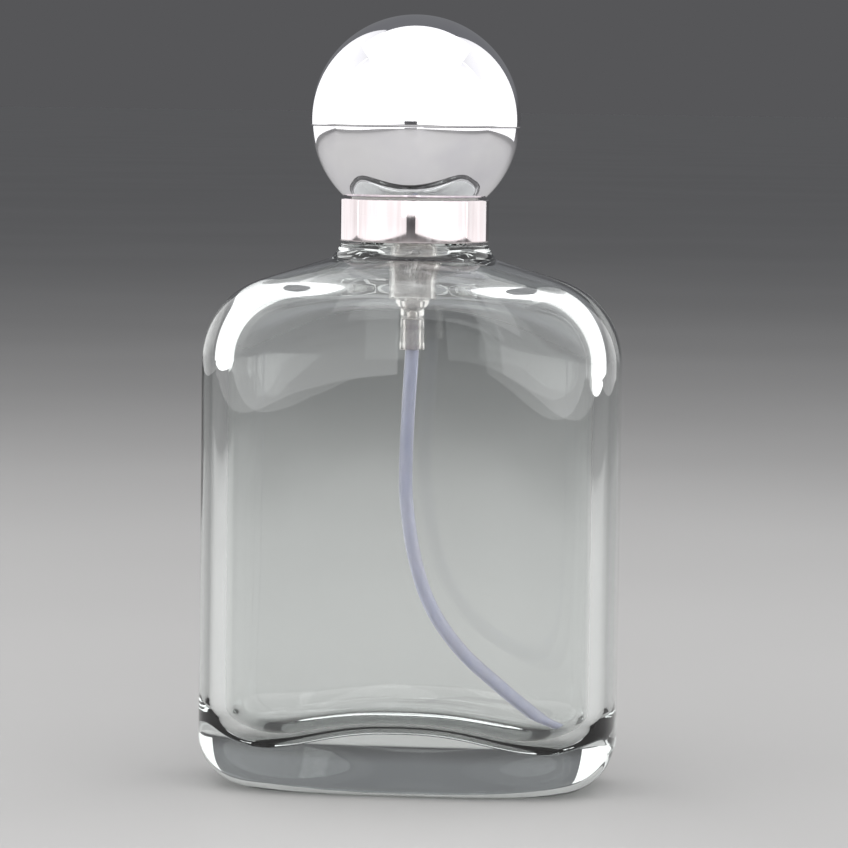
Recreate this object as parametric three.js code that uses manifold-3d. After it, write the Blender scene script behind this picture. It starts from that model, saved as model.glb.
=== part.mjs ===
// A flat glass flask for aftershave, with a crimped fine-mist pump, a bright collar and a ball cap
// that pulls off. Millimetres, +Z up, the origin at the middle of the base. The broad front face and
// the spray nozzle look along -Y.
import * as THREE from "three";
import { mergeVertices } from "three/addons/utils/BufferGeometryUtils.js";
import Module from "manifold-3d";

const wasm = await Module();
wasm.setup();

// ---- Driving dimensions -------------------------------------------------------------------------

const ROUND_STEPS = 28; // sides of a full turn on the larger round pieces
const FINE_STEPS = 20; // and on the small pieces of the pump
const RUNNING_GAP = 0.1; // radial gap between pieces that slide or turn
const SEAT_GAP = 0.05; // gap between pieces that are pressed together

// Glass flask
const BODY = { halfWidth: 28.1, halfDepth: 15, squareness: 3.4 };
const CAVITY = { halfWidth: 24.8, halfDepth: 11.9, squareness: 3.2 };
const SHOULDER_SLOPE = THREE.MathUtils.degToRad(18);
const SIDE_TOP = 57.3; // where the upright sides start to round into the shoulders
const SHOULDER_RADIUS = 11.5;
const CAVITY_SHOULDER_RADIUS = 9.5;
const SHOULDER_FULLNESS = 2.6; // how soon the depth fills out on the way down from the neck
const HEEL = { side: 7, front: 5, height: 7 }; // how far the base's rounding reaches in from the sides and up
const BASE_RECESS = { share: 0.8, depth: 1 }; // its share of the flat base, and its depth in the middle
const FLOOR_Z = 5.7; // top of the glass at the low ends of the cavity floor
const FLOOR_ARCH = { rise: 2.5, halfSpan: 19, flatness: 1.3, fadeZ: 24 }; // the floor bows up in the middle
const CAVITY_HEEL = { side: 6, front: 4.5, height: 5.5 };
const NECK_ROOT_RADIUS = 11.5; // where the shoulder's slope turns up into the neck
const NECK_FLARE = { radius: 1.6, lean: 30, top: 73.2 }; // a cove, then a cone that leans in, in degrees
const NECK_RADIUS = 6.9;
const BEAD = { radius: 7.5, bottom: 74.4, fullFrom: 75 };
const LIP_Z = 77.6;
const LIP_ROUNDING = 0.4;
const NECK_BORE = 4.9;
const BORE_EDGE = 1.2; // rounding where the bore opens into the cavity

// Collar
const COLLAR = { radius: 10, wall: 0.5, rounding: 0.25, bottom: 73.5, top: 79.2, hole: 8.6 };
const INSERT_LEDGE = { radius: 8.5, thickness: 0.5 }; // the part of the insert that hangs on the ferrule
const UPSTAND = { inside: 7.2, outside: 7.9, top: 83 };
const SNAP_BEAD = { radius: 7.97, z: 81.6, halfHeight: 0.3 }; // what the cap's liner grips

// Pump
const STROKE = 4; // how far the actuator presses down
const GASKET_THICKNESS = 0.8;
const FLANGE = { radius: 7.2, bottom: 78.4, top: 79.2 };
const NECK_PLUG = { radius: 4.6, from: 75.2, full: 75.8 }; // centres the housing in the neck
const BARREL = { radius: 3.25, bore: 2.55, step: 67.5, floor: 68 };
const VALVE_CAGE = { radius: 2.3, bore: 1.15, seat: 0.5, seatZ: 65, taperTop: 65.6, taperEnd: 64.3 };
const CAGE_LIP = { bore: 0.75, bottom: 66.6, top: 66.9 }; // keeps the intake ball in its cage
const TUBE_SOCKET = { radius: 1.6, bore: 0.99, bottom: 59, stop: 63.2 };
const DIP_TUBE = { radius: 0.94, bore: 0.5 };
const INTAKE_BALL_RADIUS = 0.9;
const INTAKE_BALL_Z = 65.14;
const STEM = { radius: 1.5, bore: 0.6, bottom: 74.75, top: 88.9, shoulder: 2.2, shoulderZ: 80.3 };
const PISTON = { bottom: 74.85, top: 77.5 };
const CORE = { flange: 2.3, bottom: 74.2, thickness: 0.5, tip: 0.9, tipLength: 1.2, spigotTop: 76.8 };
const RETURN_SPRING = { mean: 1.9, wire: 0.34, turns: 5, bottom: 68.05, top: 74.15 };
const VALVE_SPRING = { mean: 1.95, wire: 0.28, turns: 4, bottom: 77.55, top: 80.25 };
const TURRET = { radius: 4.2, bottom: 79.85, top: 82.05, ceiling: 81 };
const FERRULE = { radius: 8, wall: 0.35, turret: 4.65, top: 82.45, crimpReach: 0.45, crimpBottom: 73.6 };

// Actuator
const ACTUATOR = { radius: 6.4, wall: 0.4, bottom: 84, top: 93.5, skirtTop: 86.8, skirtBore: 5.2 };
const NOZZLE = { z: 90.3, radius: 2, front: 6.25, length: 2.2, orifice: 0.2 };

// Ball cap
const BALL = { radius: 14.1, wall: 1.2, centre: 89.7, seam: 88.9, bottom: 79.55, overhang: 0.1 };
const LINER = { grip: 8.05, gripBottom: 80.55, gripTop: 84.4, radius: 9, wall: 0.8 };
const LINER_RING = { reach: 0.45, bottom: 81.35, top: 82 }; // locks the liner behind the lower shell's mouth
const THIMBLE = { radius: 7.8, shoulder: 84.9, bottom: 85.6, ceiling: 95.6 }; // the liner's closed top

// ---- Materials ----------------------------------------------------------------------------------

const finish = (color, roughness, metalness, opacity = 1) =>
  new THREE.MeshStandardMaterial({ color, roughness, metalness, opacity, transparent: opacity < 1 });

const clearGlass = finish(0xdfe9e6, 0.03, 0, 0.3);
const chrome = finish(0xe6e6ea, 0.05, 1);
const bareAluminium = finish(0xc9ccd1, 0.3, 1);
const springSteel = finish(0xb9bcc0, 0.25, 1);
const milkyPlastic = finish(0xe4dedb, 0.25, 0, 0.55);
const whitePlastic = finish(0xf0efec, 0.4, 0);
const softSeal = finish(0x4a4d52, 0.7, 0);

// ---- Shape tools --------------------------------------------------------------------------------

const part = new THREE.Group();

function add(name, geometry, material) {
  const mesh = new THREE.Mesh(geometry, material);
  mesh.name = name;
  part.add(mesh);
  return mesh;
}

// Points from one angle to another on a circle about (x, z), both ends included.
function arc(x, z, radius, fromDegrees, toDegrees, steps) {
  return Array.from({ length: steps + 1 }, (_, i) => {
    const angle = THREE.MathUtils.degToRad(fromDegrees + ((toDegrees - fromDegrees) * i) / steps);
    return [x + radius * Math.cos(angle), z + radius * Math.sin(angle)];
  });
}

// Turns an outline of [radius, height] points, listed either way round, about the Z axis.
function turned(outline, steps = ROUND_STEPS) {
  const area = outline.reduce((sum, [x, z], i) => {
    const [x2, z2] = outline[(i + 1) % outline.length];
    return sum + x * z2 - x2 * z;
  }, 0);
  const points = (area > 0 ? outline : [...outline].reverse()).map(([x, z]) => new THREE.Vector2(x, z));
  points.push(points[0].clone());
  return new THREE.LatheGeometry(points, steps).rotateX(Math.PI / 2);
}

function solidOf(geometry) {
  const bare = geometry.index ? geometry.toNonIndexed() : geometry.clone();
  bare.deleteAttribute("normal");
  bare.deleteAttribute("uv");
  const merged = mergeVertices(bare, 1e-4);
  return new wasm.Manifold(
    new wasm.Mesh({
      numProp: 3,
      vertProperties: merged.attributes.position.array,
      triVerts: new Uint32Array(merged.index.array),
    }),
  );
}

function geometryOf(solid) {
  const mesh = solid.getMesh();
  return new THREE.BufferGeometry()
    .setAttribute("position", new THREE.BufferAttribute(mesh.vertProperties, 3))
    .setIndex(new THREE.BufferAttribute(mesh.triVerts, 1));
}

// A cylinder along Y from one y to another, at height z.
function rodAlongY(radius, fromY, toY, z, steps = FINE_STEPS) {
  return new THREE.CylinderGeometry(radius, radius, toY - fromY, steps).translate(0, (fromY + toY) / 2, z);
}

// A cylinder along Z.
function rodAlongZ(radius, fromZ, toZ, steps = FINE_STEPS) {
  return new THREE.CylinderGeometry(radius, radius, toZ - fromZ, steps)
    .rotateX(Math.PI / 2)
    .translate(0, 0, (fromZ + toZ) / 2);
}

function polygon(radius, sides) {
  const corner = (turn) => new THREE.Vector2(radius * Math.cos(turn), radius * Math.sin(turn));
  return Array.from({ length: sides }, (_, i) => corner((2 * Math.PI * i) / sides));
}

// ---- Glass flask --------------------------------------------------------------------------------

// A level cut through the flask is a squared-off oval. It grows from a circle at the neck to the
// body's full form, and its depth and squareness fill out sooner than its width does.
function cut(width, z, neck, form) {
  const share = THREE.MathUtils.clamp((width - neck) / (form.halfWidth - neck), 0, 1);
  const filled = 1 - (1 - share) ** SHOULDER_FULLNESS;
  return {
    width,
    depth: neck + (form.halfDepth - neck) * filled,
    squareness: 2 + (form.squareness - 2) * filled,
    z,
  };
}

const round = (radius, z) => ({ width: radius, depth: radius, squareness: 2, z });

// A level cut inside the foot of the heel, at a share of the heel's own footprint.
const footprint = (form, rounding, share, z) => ({
  width: (form.halfWidth - rounding.side) * share,
  depth: (form.halfDepth - rounding.front) * share,
  squareness: form.squareness,
  z,
});

// From the upright side, round the shoulder and up its slope to a given half-width.
function shoulder(form, radius, neck, endWidth, slopeSteps) {
  const turn = 90 - THREE.MathUtils.radToDeg(SHOULDER_SLOPE);
  const bend = arc(form.halfWidth - radius, SIDE_TOP, radius, 0, turn, 4);
  const [bendWidth, bendZ] = bend[bend.length - 1];
  const slope = Array.from({ length: slopeSteps }, (_, i) => {
    const width = bendWidth + ((endWidth - bendWidth) * (i + 1)) / slopeSteps;
    return [width, bendZ + (bendWidth - width) * Math.tan(SHOULDER_SLOPE)];
  });
  return [...bend, ...slope].map(([width, z]) => cut(width, z, neck, form));
}

// A quarter oval from a flat bottom to an upright side.
function heel(form, rounding, floorZ, steps) {
  return arc(0, 0, 1, -90, 0, steps).map(([out, up]) => ({
    width: form.halfWidth - rounding.side * (1 - out),
    depth: form.halfDepth - rounding.front * (1 - out),
    squareness: form.squareness,
    z: floorZ + rounding.height * (1 + up),
  }));
}

// Up from the shoulder through the cove and the cone to the flat ring that the neck proper stands on.
function neckFlare(rootZ) {
  const { radius, lean, top } = NECK_FLARE;
  const x = NECK_ROOT_RADIUS + radius * Math.sin(SHOULDER_SLOPE);
  const z = rootZ + radius * Math.cos(SHOULDER_SLOPE);
  const cove = arc(x, z, radius, -90 - THREE.MathUtils.radToDeg(SHOULDER_SLOPE), lean - 180, 3).slice(1);
  const [coveEnd, coveTop] = cove[cove.length - 1];
  const rim = coveEnd - (top - coveTop) * Math.tan(THREE.MathUtils.degToRad(lean));
  const corner = 0.2;
  return [...cove, [rim, top - corner], [rim - corner, top]].map(([r, height]) => round(r, height));
}

function flaskCuts() {
  const outside = shoulder(BODY, SHOULDER_RADIUS, NECK_ROOT_RADIUS, NECK_ROOT_RADIUS, 4);
  const boreSteps = [180, 270 - THREE.MathUtils.radToDeg(SHOULDER_SLOPE)];
  const ceilingEnd = NECK_BORE + BORE_EDGE * (1 - Math.sin(SHOULDER_SLOPE));
  const inside = shoulder(CAVITY, CAVITY_SHOULDER_RADIUS, NECK_BORE, ceilingEnd, 4);
  const edgeZ = inside[inside.length - 1].z + BORE_EDGE * Math.cos(SHOULDER_SLOPE);
  const boreEdge = arc(NECK_BORE + BORE_EDGE, edgeZ, BORE_EDGE, ...boreSteps, 3).slice(0, -1);
  return [
    footprint(BODY, HEEL, 0, BASE_RECESS.depth),
    footprint(BODY, HEEL, BASE_RECESS.share / 2, BASE_RECESS.depth * 0.75),
    footprint(BODY, HEEL, BASE_RECESS.share, 0),
    ...heel(BODY, HEEL, 0, 4),
    ...outside,
    ...neckFlare(outside[outside.length - 1].z),
    round(NECK_RADIUS, NECK_FLARE.top),
    round(NECK_RADIUS, BEAD.bottom),
    round(BEAD.radius, BEAD.fullFrom),
    round(BEAD.radius, LIP_Z - LIP_ROUNDING),
    round(BEAD.radius - LIP_ROUNDING, LIP_Z),
    round(NECK_BORE + LIP_ROUNDING, LIP_Z),
    round(NECK_BORE, LIP_Z - LIP_ROUNDING),
    ...boreEdge.map(([radius, z]) => round(radius, z)),
    ...inside.reverse(),
    ...heel(CAVITY, CAVITY_HEEL, FLOOR_Z, 3).reverse(),
    footprint(CAVITY, CAVITY_HEEL, 0.7, FLOOR_Z),
    footprint(CAVITY, CAVITY_HEEL, 0.38, FLOOR_Z),
    footprint(CAVITY, CAVITY_HEEL, 0, FLOOR_Z),
  ];
}

// How much higher the cavity floor stands at x than at its low ends.
function archAt(x, z) {
  const across = Math.min(Math.abs(x) / FLOOR_ARCH.halfSpan, 1) ** FLOOR_ARCH.flatness;
  const upTheWall = THREE.MathUtils.clamp((z - FLOOR_Z) / (FLOOR_ARCH.fadeZ - FLOOR_Z), 0, 1);
  return ((FLOOR_ARCH.rise * (1 + Math.cos(Math.PI * across))) / 2) * (1 - upTheWall) ** 2;
}

function flask() {
  const cuts = flaskCuts();
  const firstInside = cuts.findIndex((c) => c.z === LIP_Z);
  const steps = 40;
  const points = cuts.map((c, i) => new THREE.Vector2(i === 0 || i === cuts.length - 1 ? 0 : c.width, c.z));
  const geometry = new THREE.LatheGeometry(points, steps);
  const position = geometry.attributes.position;
  for (let i = 0; i < position.count; i++) {
    const index = i % cuts.length;
    const { width, depth, squareness, z } = cuts[index];
    const angle = (2 * Math.PI * Math.floor(i / cuts.length)) / steps;
    const oval = (value) => Math.sign(value) * Math.abs(value) ** (2 / squareness);
    const x = width * oval(Math.sin(angle));
    const y = -depth * oval(Math.cos(angle));
    position.setXYZ(i, x, y, z + (index > firstInside && z < FLOOR_ARCH.fadeZ ? archAt(x, z) : 0));
  }
  return geometry;
}

add("glass_bottle", flask(), clearGlass);

// ---- What closes the neck -----------------------------------------------------------------------

add(
  "neck_gasket",
  turned([
    [NECK_BORE, LIP_Z + SEAT_GAP],
    [FLANGE.radius, LIP_Z + SEAT_GAP],
    [FLANGE.radius, LIP_Z + GASKET_THICKNESS - SEAT_GAP],
    [NECK_BORE, LIP_Z + GASKET_THICKNESS - SEAT_GAP],
  ]),
  softSeal,
);

const ferruleInside = FERRULE.radius - FERRULE.wall;
const ferrulePlate = FLANGE.top + SEAT_GAP;
add(
  "crimp_ferrule",
  turned([
    [NECK_RADIUS + FERRULE.crimpReach, FERRULE.crimpBottom],
    [FERRULE.radius, BEAD.bottom],
    [FERRULE.radius, ferrulePlate + FERRULE.wall],
    [FERRULE.turret, ferrulePlate + FERRULE.wall],
    [FERRULE.turret, FERRULE.top],
    [STEM.radius + 0.4, FERRULE.top],
    [STEM.radius + 0.4, FERRULE.top - FERRULE.wall],
    [FERRULE.turret - FERRULE.wall, FERRULE.top - FERRULE.wall],
    [FERRULE.turret - FERRULE.wall, ferrulePlate],
    [ferruleInside, ferrulePlate],
    [ferruleInside, BEAD.bottom + 0.35],
    [NECK_RADIUS + FERRULE.crimpReach - 0.3, FERRULE.crimpBottom + 0.5],
  ]),
  bareAluminium,
);

add(
  "collar_ring",
  turned(
    [
      [COLLAR.radius, COLLAR.bottom],
      [COLLAR.radius, COLLAR.top - COLLAR.rounding],
      [COLLAR.radius - COLLAR.rounding, COLLAR.top],
      [COLLAR.hole, COLLAR.top],
      [COLLAR.hole, COLLAR.top - COLLAR.wall],
      [COLLAR.radius - COLLAR.wall, COLLAR.top - COLLAR.wall],
      [COLLAR.radius - COLLAR.wall, COLLAR.bottom],
    ],
    36,
  ),
  chrome,
);

const insertOutside = COLLAR.radius - COLLAR.wall - RUNNING_GAP;
const insertBore = FERRULE.radius + RUNNING_GAP;
const ledge = ferrulePlate + FERRULE.wall + RUNNING_GAP;
add(
  "collar_insert",
  turned([
    [insertBore, COLLAR.bottom + 0.3],
    [insertOutside, COLLAR.bottom + 0.3],
    [insertOutside, COLLAR.top - COLLAR.wall - RUNNING_GAP],
    [INSERT_LEDGE.radius, COLLAR.top - COLLAR.wall - RUNNING_GAP],
    [INSERT_LEDGE.radius, ledge + INSERT_LEDGE.thickness],
    [UPSTAND.outside, ledge + INSERT_LEDGE.thickness],
    [UPSTAND.outside, SNAP_BEAD.z - SNAP_BEAD.halfHeight],
    [SNAP_BEAD.radius, SNAP_BEAD.z],
    [UPSTAND.outside, SNAP_BEAD.z + SNAP_BEAD.halfHeight],
    [UPSTAND.outside, UPSTAND.top - 0.2],
    [UPSTAND.outside - 0.2, UPSTAND.top],
    [UPSTAND.inside, UPSTAND.top],
    [UPSTAND.inside, ledge],
    [insertBore, ledge],
  ]),
  whitePlastic,
);

// ---- Pump ---------------------------------------------------------------------------------------

add(
  "pump_housing",
  turned([
    [TUBE_SOCKET.bore + 0.15, TUBE_SOCKET.bottom],
    [TUBE_SOCKET.radius, TUBE_SOCKET.bottom],
    [TUBE_SOCKET.radius, VALVE_CAGE.taperEnd],
    [VALVE_CAGE.radius, VALVE_CAGE.taperTop],
    [VALVE_CAGE.radius, BARREL.step],
    [BARREL.radius, BARREL.step],
    [BARREL.radius, NECK_PLUG.from],
    [NECK_PLUG.radius, NECK_PLUG.full],
    [NECK_PLUG.radius, FLANGE.bottom],
    [FLANGE.radius, FLANGE.bottom],
    [FLANGE.radius, FLANGE.top],
    [BARREL.bore, FLANGE.top],
    [BARREL.bore, BARREL.floor],
    [CAGE_LIP.bore, BARREL.floor],
    [CAGE_LIP.bore, CAGE_LIP.top],
    [VALVE_CAGE.bore, CAGE_LIP.bottom],
    [VALVE_CAGE.bore - 0.05, VALVE_CAGE.seatZ],
    [VALVE_CAGE.seat, VALVE_CAGE.taperEnd],
    [VALVE_CAGE.seat, TUBE_SOCKET.stop],
    [TUBE_SOCKET.bore, TUBE_SOCKET.stop],
    [TUBE_SOCKET.bore, TUBE_SOCKET.bottom + 0.4],
  ]),
  milkyPlastic,
);

add(
  "turret_seal",
  turned(
    [
      [BARREL.bore + 0.15, FLANGE.top + SEAT_GAP],
      [TURRET.radius, FLANGE.top + SEAT_GAP],
      [TURRET.radius, TURRET.bottom - SEAT_GAP],
      [BARREL.bore + 0.15, TURRET.bottom - SEAT_GAP],
    ],
    FINE_STEPS,
  ),
  softSeal,
);

add(
  "turret_cap",
  turned(
    [
      [BARREL.bore + 0.1, TURRET.bottom],
      [TURRET.radius, TURRET.bottom],
      [TURRET.radius, TURRET.top],
      [STEM.radius + RUNNING_GAP, TURRET.top],
      [STEM.radius + RUNNING_GAP, TURRET.ceiling],
      [BARREL.bore + 0.1, TURRET.ceiling],
    ],
    FINE_STEPS,
  ),
  whitePlastic,
);

// The dip tube leaves its socket straight, bows a little to the left and sweeps into the
// right-hand bottom corner.
const dipTubeRoute = [
  [0, TUBE_SOCKET.stop - 0.1],
  [0, TUBE_SOCKET.bottom],
  [-0.35, 52],
  [-0.6, 45],
  [-0.5, 38.8],
  [0.75, 30.8],
  [3.1, 24.2],
  [7.1, 18.6],
  [12.3, 14],
  [17, 10.3],
  [21.2, 7],
];

class DipTubeLine extends THREE.CatmullRomCurve3 {
  constructor() {
    super(dipTubeRoute.map(([x, z]) => new THREE.Vector3(x, 0, z)));
  }
}

const tubeSection = new THREE.Shape(polygon(DIP_TUBE.radius, 8));
tubeSection.holes.push(new THREE.Path(polygon(DIP_TUBE.bore, 8)));
add(
  "dip_tube",
  new THREE.ExtrudeGeometry(tubeSection, { steps: 22, bevelEnabled: false, extrudePath: new DipTubeLine() }),
  milkyPlastic,
);

add(
  "intake_ball",
  new THREE.SphereGeometry(INTAKE_BALL_RADIUS, 16, 10).rotateX(Math.PI / 2).translate(0, 0, INTAKE_BALL_Z),
  springSteel,
);

// A helix whose end turns lie flat.
class SpringLine extends THREE.Curve {
  constructor({ mean, wire, turns, bottom, top }) {
    super();
    Object.assign(this, { mean, turns, bottom: bottom + wire / 2, top: top - wire / 2 });
  }
  getPoint(t, target = new THREE.Vector3()) {
    const angle = 2 * Math.PI * this.turns * t;
    const eased = t - Math.sin(2 * Math.PI * t) / (2 * Math.PI) / 3;
    return target.set(
      this.mean * Math.cos(angle),
      this.mean * Math.sin(angle),
      this.bottom + (this.top - this.bottom) * eased,
    );
  }
}

function spring(size) {
  return new THREE.ExtrudeGeometry(new THREE.Shape(polygon(size.wire / 2, 5)), {
    steps: size.turns * 12,
    bevelEnabled: false,
    extrudePath: new SpringLine(size),
  });
}

add("return_spring", spring(RETURN_SPRING), springSteel);
add("valve_spring", spring(VALVE_SPRING), springSteel);

// The core closes the bottom of the stem and carries it on the return spring.
add(
  "piston_core",
  turned(
    [
      [0, CORE.bottom - CORE.tipLength],
      [CORE.tip, CORE.bottom - CORE.tipLength],
      [CORE.tip + 0.3, CORE.bottom],
      [CORE.flange, CORE.bottom],
      [CORE.flange, CORE.bottom + CORE.thickness],
      [STEM.bore - SEAT_GAP, CORE.bottom + CORE.thickness],
      [STEM.bore - SEAT_GAP, CORE.spigotTop - 0.2],
      [0, CORE.spigotTop],
    ],
    FINE_STEPS,
  ),
  whitePlastic,
);

const pistonLip = BARREL.bore - 0.04;
const pistonWaist = pistonLip - 0.3;
const pistonLipHeight = 0.8;
add(
  "piston",
  turned(
    [
      [STEM.radius + 0.06, PISTON.bottom],
      [pistonLip - 0.25, PISTON.bottom],
      [pistonLip, PISTON.bottom + 0.2],
      [pistonWaist, PISTON.bottom + pistonLipHeight],
      [pistonWaist, PISTON.top - pistonLipHeight],
      [pistonLip, PISTON.top - 0.2],
      [pistonLip - 0.25, PISTON.top],
      [STEM.radius + 0.06, PISTON.top],
    ],
    FINE_STEPS,
  ),
  whitePlastic,
);

add(
  "stem",
  turned(
    [
      [STEM.bore, STEM.bottom],
      [STEM.radius, STEM.bottom],
      [STEM.radius, STEM.shoulderZ],
      [STEM.shoulder, STEM.shoulderZ],
      [STEM.shoulder, TURRET.ceiling - SEAT_GAP],
      [STEM.radius, TURRET.ceiling - SEAT_GAP],
      [STEM.radius, STEM.top - 0.3],
      [STEM.radius - 0.25, STEM.top],
      [STEM.bore, STEM.top],
    ],
    FINE_STEPS,
  ),
  whitePlastic,
);

// ---- Actuator -----------------------------------------------------------------------------------

const buttonRadius = ACTUATOR.radius - ACTUATOR.wall - SEAT_GAP;
const buttonTop = ACTUATOR.top - ACTUATOR.wall - SEAT_GAP;
const stemSocketTop = STEM.top + 0.1;
const nozzleBore = NOZZLE.radius + SEAT_GAP;
const nozzleBack = ACTUATOR.radius - 3.2; // how far behind the orifice the nozzle's bore ends, from the axis
const swirlPost = 1.1;
const feedZ = NOZZLE.z + 1.55; // the passage opens between the bore's wall and the swirl post

function button() {
  const blank = solidOf(
    turned([
      [STEM.radius + SEAT_GAP, ACTUATOR.skirtTop],
      [ACTUATOR.skirtBore, ACTUATOR.skirtTop],
      [ACTUATOR.skirtBore, ACTUATOR.bottom + 0.2],
      [buttonRadius, ACTUATOR.bottom + 0.2],
      [buttonRadius, buttonTop - 0.3],
      [buttonRadius - 0.3, buttonTop],
      [0, buttonTop],
      [0, stemSocketTop],
      [STEM.radius + SEAT_GAP, stemSocketTop],
    ]),
  );
  return geometryOf(
    blank
      .subtract(solidOf(rodAlongY(nozzleBore, -ACTUATOR.radius - 1, -nozzleBack, NOZZLE.z)))
      .add(solidOf(rodAlongY(swirlPost, -NOZZLE.front + 1.4, -nozzleBack + 0.2, NOZZLE.z, 16)))
      .subtract(solidOf(rodAlongZ(0.5, stemSocketTop - 0.2, feedZ + 0.4, 12)))
      .subtract(solidOf(rodAlongY(0.35, -nozzleBack - 0.2, 0.3, feedZ, 12))),
  );
}
add("actuator_button", button(), whitePlastic);

function sleeve() {
  const shell = solidOf(
    turned([
      [ACTUATOR.radius - ACTUATOR.wall, ACTUATOR.bottom],
      [ACTUATOR.radius, ACTUATOR.bottom],
      [ACTUATOR.radius, ACTUATOR.top - 0.4],
      [ACTUATOR.radius - 0.4, ACTUATOR.top],
      [ACTUATOR.radius - 1.4, ACTUATOR.top],
      [0, ACTUATOR.top - 0.15],
      [0, ACTUATOR.top - ACTUATOR.wall],
      [ACTUATOR.radius - ACTUATOR.wall, ACTUATOR.top - ACTUATOR.wall],
    ]),
  );
  const window = rodAlongY(NOZZLE.radius + 0.3, -ACTUATOR.radius - 1, -3, NOZZLE.z);
  return geometryOf(shell.subtract(solidOf(window)));
}
add("actuator_sleeve", sleeve(), bareAluminium);

// The nozzle is a small cup pressed over the swirl post, with the orifice in its face.
const nozzleFace = 1.25;
add(
  "nozzle_insert",
  turned(
    [
      [NOZZLE.orifice, NOZZLE.length - nozzleFace],
      [swirlPost + SEAT_GAP * 2, NOZZLE.length - nozzleFace],
      [swirlPost + SEAT_GAP * 2, 0],
      [NOZZLE.radius, 0],
      [NOZZLE.radius, NOZZLE.length - 0.2],
      [NOZZLE.radius - 0.2, NOZZLE.length],
      [0.7, NOZZLE.length],
      [NOZZLE.orifice, NOZZLE.length - 0.45],
    ],
    FINE_STEPS,
  )
    .rotateX(Math.PI / 2)
    .translate(0, NOZZLE.length - NOZZLE.front, NOZZLE.z),
  whitePlastic,
);

// ---- Ball cap -----------------------------------------------------------------------------------

// The angle at which a sphere about the cap's centre crosses a level.
const angleAt = (radius, z) => THREE.MathUtils.radToDeg(Math.asin((z - BALL.centre) / radius));
const ballInside = BALL.radius - BALL.wall;
const lowerRadius = BALL.radius - BALL.overhang;
const mouthBore = LINER.radius + RUNNING_GAP;
const tongue = { outside: ballInside - 0.15, inside: ballInside - 0.75, top: BALL.seam + 1.4 };

add(
  "cap_upper_shell",
  turned(
    [
      ...arc(0, BALL.centre, BALL.radius, angleAt(BALL.radius, BALL.seam), 90, 8),
      ...arc(0, BALL.centre, ballInside, 90, angleAt(ballInside, BALL.seam), 6),
    ].map(([r, z]) => [r < 1e-6 ? 0 : r, z]),
  ),
  chrome,
);

const lowerInside = lowerRadius - BALL.wall;
const lowerRim = BALL.seam - SEAT_GAP;
const mouthTop = BALL.centre - Math.sqrt(lowerInside ** 2 - mouthBore ** 2);
const tongueRoot = BALL.centre - Math.sqrt(lowerInside ** 2 - tongue.inside ** 2);
add(
  "cap_lower_shell",
  turned([
    [mouthBore, BALL.bottom],
    ...arc(0, BALL.centre, lowerRadius, angleAt(lowerRadius, BALL.bottom), angleAt(lowerRadius, lowerRim), 6),
    [tongue.outside, lowerRim],
    [tongue.outside, tongue.top],
    [tongue.inside, tongue.top],
    ...arc(0, BALL.centre, lowerInside, angleAt(lowerInside, tongueRoot), angleAt(lowerInside, mouthTop), 3),
  ]),
  chrome,
);

add(
  "cap_liner",
  turned([
    [LINER.radius - LINER.wall / 2, BALL.bottom + RUNNING_GAP],
    [LINER.radius, BALL.bottom + RUNNING_GAP],
    [LINER.radius, LINER_RING.bottom],
    [LINER.radius + LINER_RING.reach, LINER_RING.bottom],
    [LINER.radius + LINER_RING.reach, LINER_RING.top],
    [LINER.radius, LINER_RING.top],
    [LINER.radius, THIMBLE.shoulder],
    [THIMBLE.radius, THIMBLE.bottom],
    [THIMBLE.radius, THIMBLE.ceiling + LINER.wall],
    [0, THIMBLE.ceiling + LINER.wall],
    [0, THIMBLE.ceiling],
    [THIMBLE.radius - LINER.wall, THIMBLE.ceiling],
    [THIMBLE.radius - LINER.wall, THIMBLE.shoulder],
    [LINER.grip, LINER.gripTop],
    [LINER.grip, LINER.gripBottom],
    [LINER.radius - LINER.wall / 2, LINER.gripBottom - 0.15],
  ]),
  whitePlastic,
);

export default part;
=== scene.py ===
"""The looks of a glass aftershave flask with a crimped spray pump, a bright collar and a ball cap.

Lengths below are millimetres unless a name or comment says otherwise; every mesh is stored in metres.
"""

import math

import bpy
from mathutils import Matrix, Quaternion, Vector


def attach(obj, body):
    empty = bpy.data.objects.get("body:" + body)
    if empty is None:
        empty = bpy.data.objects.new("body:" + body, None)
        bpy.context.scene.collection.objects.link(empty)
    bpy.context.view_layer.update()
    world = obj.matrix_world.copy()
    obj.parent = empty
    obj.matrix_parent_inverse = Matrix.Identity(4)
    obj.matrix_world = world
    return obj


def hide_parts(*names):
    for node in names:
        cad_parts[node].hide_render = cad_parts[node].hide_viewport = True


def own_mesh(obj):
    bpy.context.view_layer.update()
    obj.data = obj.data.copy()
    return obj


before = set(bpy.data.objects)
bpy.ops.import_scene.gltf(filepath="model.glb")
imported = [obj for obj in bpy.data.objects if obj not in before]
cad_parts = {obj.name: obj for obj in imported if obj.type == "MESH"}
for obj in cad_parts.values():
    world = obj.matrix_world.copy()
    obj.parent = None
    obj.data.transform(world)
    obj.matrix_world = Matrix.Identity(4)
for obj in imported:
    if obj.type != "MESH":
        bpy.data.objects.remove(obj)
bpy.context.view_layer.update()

MM = 0.001
TURN_STEPS = 128  # sides of a full turn on the pieces seen close
SMALL_TURN_STEPS = 64  # and on the small pieces of the pump
SHARP_ANGLE = math.radians(38)  # edges that turn more than this stay crisp


# ---- Sizes ---------------------------------------------------------------------------------------

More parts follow.
